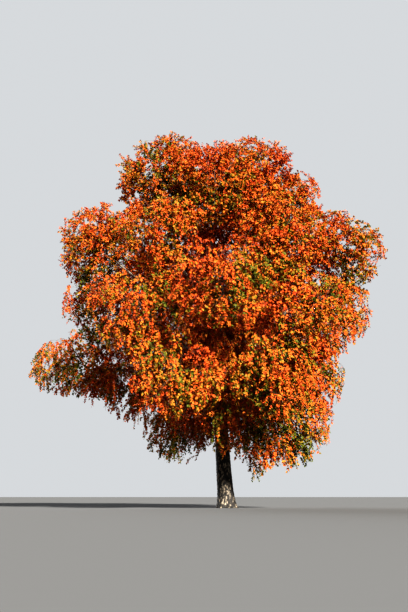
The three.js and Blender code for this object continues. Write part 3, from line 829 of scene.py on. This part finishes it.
steps = mix(*FINE_TWIG_STEPS, how_weeping(side_end[:, 2]))
counts = np.round(np.linalg.norm(side_end - side_start, axis=1) / steps)
counts = np.clip(counts, *FINE_TWIG_COUNTS).astype(int)
owner, place_no = dealt_out(counts)
share = mix(FINE_TWIG_FIRST, 1.0, (place_no + 1) / counts[owner])[:, None]
side_lines = (side_start[owner], side_bend[owner], side_end[owner])
foot, way = twig_curve(*side_lines, share), curve_way(*side_lines, share)
at_tip = (place_no + 1 == counts[owner])[:, None]
aside = turned_off(way, owner, place_no) * np.where(at_tip, TIP_TWIG_ASIDE, FINE_TWIG_ASIDE)
weep = how_weeping(foot[:, 2])[:, None]
outward = out_of_crown(foot, FINE_TWIG_LEVELLING)
aim = unit(
    way * FINE_TWIG_ALONG + aside + outward * FINE_TWIG_OUTWARD - up * weep * FINE_TWIG_DROOP
    + rng.normal(0, FINE_TWIG_STRAY, foot.shape))
length = mix(*FINE_TWIG_LENGTHS, weep) * rng.uniform(*FINE_TWIG_VARIETY, (len(foot), 1))
mass = side_mass[owner]

ragged = 0.5 + RAGGED_SLOPE * noise_at(side_end, RAGGED_SIZE)
ragged = np.clip(ragged + rng.normal(0, RAGGED_STRAY, len(side_end)), 0, 1)
x, _, z = side_end.T
limit = mix(*RAGGED_LIMITS, ragged)
limit += FULLER_TOP * smooth(*FULLER_TOP_HEIGHTS, z)
limit += FULLER_LEFT * smooth(*FULLER_LEFT_REACH, -x) * smooth(*FULLER_LEFT_HEIGHTS, z)
limit += FULLER_FOOT * (1 - smooth(*FULLER_FOOT_HEIGHTS, z))
limit = limit[owner]

x, _, z = foot.T
openness = how_open(foot)
in_gap = noise_at(foot / GAP_SIZE + GAP_START) < mix(*GAP_LEVELS, smooth(*GAP_HEIGHTS, z))
in_gap &= openness > GAP_OPENNESS_LEAST
in_gap &= openness < mix(*GAP_OPENNESS_MOST, smooth(*GAP_OPENNESS_HEIGHTS, z))
in_gap &= x > GAP_LEFT_END

kept = np.zeros(len(foot), bool)
for cut in FINE_TWIG_CUTS:
    _, end = bent_down(foot, aim, length * cut, weep * FINE_TWIG_HANG)
    inside = in_space(mass, end, FINE_TWIG_OVERLAP, limit) | (mass == NO_MASS)
    fits = inside & ~kept & ~in_gap
    length[fits] *= cut
    kept |= fits
foot, aim, length, mass, weep, limit, openness = (
    values[kept] for values in (foot, aim, length, mass, weep, limit, openness))
bend, end = bent_down(foot, aim, length, weep * FINE_TWIG_HANG)
stations = np.linspace(0, 1, len(FINE_TWIG_RADII))[None, :, None]
fine_points = twig_curve(foot[:, None], bend[:, None], end[:, None], stations)
fine_radii = np.broadcast_to(FINE_TWIG_RADII, fine_points.shape[:2])
fine = mesh_piece("fine_twigs", *twig_tubes(fine_points, fine_radii, FINE_TWIG_SIDES))
fine.data.materials.append(twig_material("shoot bark", SHOOT_DARK, SHOOT_LIGHT))
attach(fine, "root")
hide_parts(*foliage_nodes)

# The leaves are small rhombic blades with a drawn-out tip, folded a little along the midrib. They
# hang on the fine twigs, and each twig's leaves turned one tint of autumn together.
LEAF_STEPS = (0.043, 0.0252)
LEAF_LENGTHS = (0.120, 0.069)
LEAF_VARIETY = (0.75, 1.15)
LEAF_OPENNESS = (0.09, 0.52)
LEAVES_LEAST = 4
TOP_LEAF_HEIGHTS = (7.5, 11.0)
TOP_CLOSENESS = 1.9
TOP_LEAF_SHARE = 0.93
LEAF_FIRST = 0.1
LEAF_PLACING = (0.2, 1.0)
LEAF_ALONG = 0.25
LEAF_ASIDE = 0.85
LEAF_HANG = (0.2, 0.6)
LEAF_STRAY = 0.3
FACING_OUT = 0.5
FACING_UP = 0.35
FACING_STRAY = 0.65
FACING_LEVELLING = 0.6
LEAF_SWELL = 0.02
LEAF_OVERLAP = 0.3
LEAF_OUTLINE = np.array([(0, 0, 0), (0.39, 0.38, 0.08), (0, 1, -0.05), (-0.39, 0.38, 0.08)])
LEAF_FACES = np.array([(0, 1, 2), (0, 2, 3)])
LEAVES_IN_A_PIECE = 95000
LEAF_ROUGHNESS = 0.55
LEAF_SHEEN = 0.08
LEAF_LIGHT_THROUGH = 0.04

# Each tint: its colour, the record's slot, and how ripe its leaves are at most.
TINTS = {
    "green": ((0.080, 0.088, 0.010), "leaves_olive", -0.1),
    "olive": ((0.170, 0.112, 0.012), "leaves_olive", 0.12),
    "gold": ((0.340, 0.138, 0.016), "leaves_amber", 0.32),
    "amber": ((0.420, 0.118, 0.017), "leaves_amber", 0.56),
    "orange": ((0.440, 0.086, 0.015), "leaves_orange", 0.93),
    "flame": ((0.420, 0.062, 0.012), "leaves_orange", 1.28),
    "russet": ((0.220, 0.030, 0.007), "leaves_russet", 1.55),
    "brown": ((0.085, 0.019, 0.006), "leaves_russet", math.inf),
}

# Ripeness comes in patches, with more of it outside and less in the lowest strands, deep inside and at
# the top. Deep inside, the lower ripeness gives greener, darker leaves: partly leaves that stay green
# there, partly painted shade for dark gaps between the sprays. At the top it gives yellower, lighter
# leaves: partly their own tint, partly painted light that brightens the top. Sprays and single leaves
# stray from it.
RIPE_MIDDLE = 0.64
RIPE_PATCH = 0.95
RIPE_PATCH_SIZE = 1.4
RIPE_OUTSIDE = 0.4
RIPE_OPENNESS = 0.3
RIPE_LOW = 0.45
RIPE_LOW_HEIGHTS = (1.5, 5.0)
INSIDE_GREENING_AND_PAINTED_SHADE = 0.28
INSIDE_GREENING_AND_PAINTED_SHADE_OPENNESS = (0.02, 0.25)
TOP_YELLOWING_AND_PAINTED_LIGHT = 0.08
TOP_YELLOWING_AND_PAINTED_LIGHT_HEIGHTS = (8.0, 11.0)
SPRAY_STRAY = 0.2
TINT_STRAY = 0.31

outside = smooth(*LEAF_OPENNESS, openness)
near_top = smooth(*TOP_LEAF_HEIGHTS, foot[:, 2])
leaf_steps = mix(*LEAF_STEPS, outside) / mix(1.0, TOP_CLOSENESS, near_top)
leaf_counts = np.maximum(np.round(length[:, 0] / leaf_steps), LEAVES_LEAST).astype(int)
spray, leaf_no = dealt_out(leaf_counts)
place = (leaf_no + rng.uniform(*LEAF_PLACING, len(leaf_no))) / leaf_counts[spray]
share = mix(LEAF_FIRST, 1.0, place)[:, None]
spray_lines = (foot[spray], bend[spray], end[spray])
leaf_foot, way = twig_curve(*spray_lines, share), curve_way(*spray_lines, share)
aside = turned_off(way, spray, leaf_no)
hang = mix(*LEAF_HANG, weep[spray])
leaf_way = unit(
    way * LEAF_ALONG + aside * LEAF_ASIDE - up * hang + rng.normal(0, LEAF_STRAY, leaf_foot.shape))
outward = out_of_crown(leaf_foot, FACING_LEVELLING)
facing = unit(outward * FACING_OUT + up * FACING_UP + rng.normal(0, FACING_STRAY, leaf_foot.shape))
leaf_side = unit(np.cross(leaf_way, facing))
leaf_top = np.cross(leaf_side, leaf_way)
size = (mix(*LEAF_LENGTHS, outside) * mix(1.0, TOP_LEAF_SHARE, near_top))[spray][:, None]
size = size * rng.uniform(*LEAF_VARIETY, (len(leaf_foot), 1))
tip = leaf_foot + leaf_way * size
kept = in_space(mass[spray], tip, LEAF_OVERLAP, limit[spray] + LEAF_SWELL)
kept |= mass[spray] == NO_MASS
leaf_foot, leaf_way, leaf_side, leaf_top, size, spray = (
    values[kept] for values in (leaf_foot, leaf_way, leaf_side, leaf_top, size, spray))

z = foot[:, 2]
ripeness = RIPE_MIDDLE + RIPE_PATCH * noise_at(foot, RIPE_PATCH_SIZE)
ripeness += RIPE_OUTSIDE * (openness - RIPE_OPENNESS)
ripeness += RIPE_LOW * (smooth(*RIPE_LOW_HEIGHTS, z) - 1)
ripeness += rng.normal(0, SPRAY_STRAY, len(foot))
# Deep inside, ripeness drops towards the green and olive tints. Their darkness is partly the leaves'
# own colour and partly painted shade for the dark gaps between sprays.
ripeness -= INSIDE_GREENING_AND_PAINTED_SHADE * (1 - smooth(*INSIDE_GREENING_AND_PAINTED_SHADE_OPENNESS, openness))
# At the top, ripeness drops towards gold and amber. This is partly a real yellower tint and partly
# painted light that makes the top of the crown brighter.
ripeness -= TOP_YELLOWING_AND_PAINTED_LIGHT * smooth(*TOP_YELLOWING_AND_PAINTED_LIGHT_HEIGHTS, z)
ripeness = ripeness[spray] + rng.normal(0, TINT_STRAY, len(spray))
tint_of_leaf = np.searchsorted([ripest for _, _, ripest in TINTS.values()], ripeness)


def leaf_material(name, colour):
    """A thin leaf that light comes through, the colour plain, with a soft waxy sheen."""
    material, tree, shader = new_material(name)
    shader.inputs["Base Color"].default_value = (*colour, 1.0)
    shader.inputs["Roughness"].default_value = LEAF_ROUGHNESS
    shader.inputs["Specular IOR Level"].default_value = LEAF_SHEEN
    through = node(tree, "ShaderNodeBsdfTranslucent", (0, -400), Color=(*colour, 1.0))
    both = node(tree, "ShaderNodeMixShader", (300, 0), Fac=LEAF_LIGHT_THROUGH)
    tree.links.new(shader.outputs["BSDF"], both.inputs[1])
    tree.links.new(through.outputs["BSDF"], both.inputs[2])
    tree.links.new(both.outputs["Shader"], tree.nodes["Material Output"].inputs["Surface"])
    return material


for number, (tint, (colour, slot, _)) in enumerate(TINTS.items()):
    mine = np.flatnonzero(tint_of_leaf == number)
    material = leaf_material(f"{tint} leaf", colour)
    parts = np.array_split(mine, math.ceil(len(mine) / LEAVES_IN_A_PIECE))
    for part_no, part in enumerate(parts):
        x, y, z = (LEAF_OUTLINE[None, :, k, None] * size[part][:, None] for k in range(3))
        corners = leaf_foot[part][:, None] + x * leaf_side[part][:, None]
        corners = corners + y * leaf_way[part][:, None] + z * leaf_top[part][:, None]
        faces = LEAF_FACES[None] + (np.arange(len(part)) * len(LEAF_OUTLINE))[:, None, None]
        leaves = mesh_piece(
            f"leaves_{tint}_{part_no + 1}", corners.reshape(-1, 3), faces.reshape(-1, 3), rounded=False)
        leaves.data.materials.append(material)
        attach(leaves, "root")
        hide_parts(*foliage_nodes)

# The studio: a plain pale floor that the tree stands on, a low sun from the front right, soft light
# from all round, and a camera low in front of the tree, which looks up at the crown.
FLOOR_HALF = 400.0
FLOOR_GREY = (0.115, 0.115, 0.115, 1.0)
BACKDROP_COLOUR = (0.72, 0.74, 0.76, 1.0)
SOFT_LIGHT = 0.02
BACKDROP_LIGHT = 0.7
CAMERA_PLACE = (-0.8, -30.4, 0.4)
CAMERA_CLIMB = 12.614
CAMERA_LENS = 50.0
CAMERA_SENSOR = 36
CAMERA_FAR_END = 2000

# Each light: its strength, how wide it looks in degrees, its colour and the way it comes from.
LIGHTS = {
    "low_sun": (12.9, 4.0, (1.0, 0.97, 0.91), (0.42, -0.77, 0.48)),
    "fill_from_behind": (4.5, 50.0, (0.93, 0.96, 1.0), (-0.5, 0.75, 0.45)),
}

square = np.array([(-1, -1, 0), (1, -1, 0), (1, 1, 0), (-1, 1, 0)]) * FLOOR_HALF
floor = mesh_piece("floor", square, np.array([(0, 1, 2), (0, 2, 3)]), rounded=False)
floor_material, _, floor_shader = new_material("pale floor")
floor_shader.inputs["Base Color"].default_value = FLOOR_GREY
floor_shader.inputs["Roughness"].default_value = 1.0
floor_shader.inputs["Specular IOR Level"].default_value = 0.0
floor.data.materials.append(floor_material)

world = bpy.data.worlds.new("pale backdrop")
world.use_nodes = True
backdrop = world.node_tree
background = backdrop.nodes["Background"]
background.inputs["Color"].default_value = BACKDROP_COLOUR
seen = node(backdrop, "ShaderNodeLightPath", (-500, 0)).outputs["Is Camera Ray"]
strength = ranged(backdrop, (-300, 0), seen, end=(SOFT_LIGHT, BACKDROP_LIGHT))
backdrop.links.new(strength, background.inputs["Strength"])
bpy.context.scene.world = world

for name, (energy, spread, colour, way) in LIGHTS.items():
    light = bpy.data.lights.new(name, "SUN")
    light.energy = energy
    light.angle = math.radians(spread)
    light.color = colour
    lamp = bpy.data.objects.new(name, light)
    lamp.rotation_euler = Vector(way).to_track_quat("Z", "Y").to_euler()
    bpy.context.scene.collection.objects.link(lamp)

camera = bpy.data.objects.new("camera", bpy.data.cameras.new("camera"))
camera.location = CAMERA_PLACE
camera.rotation_euler = (math.radians(90 + CAMERA_CLIMB), 0, 0)
camera.data.lens = CAMERA_LENS
camera.data.sensor_width = CAMERA_SENSOR
camera.data.clip_end = CAMERA_FAR_END
bpy.context.scene.collection.objects.link(camera)
bpy.context.scene.camera = camera
bpy.context.scene.view_settings.view_transform = "Standard"
bpy.context.scene.view_settings.look = "High Contrast"
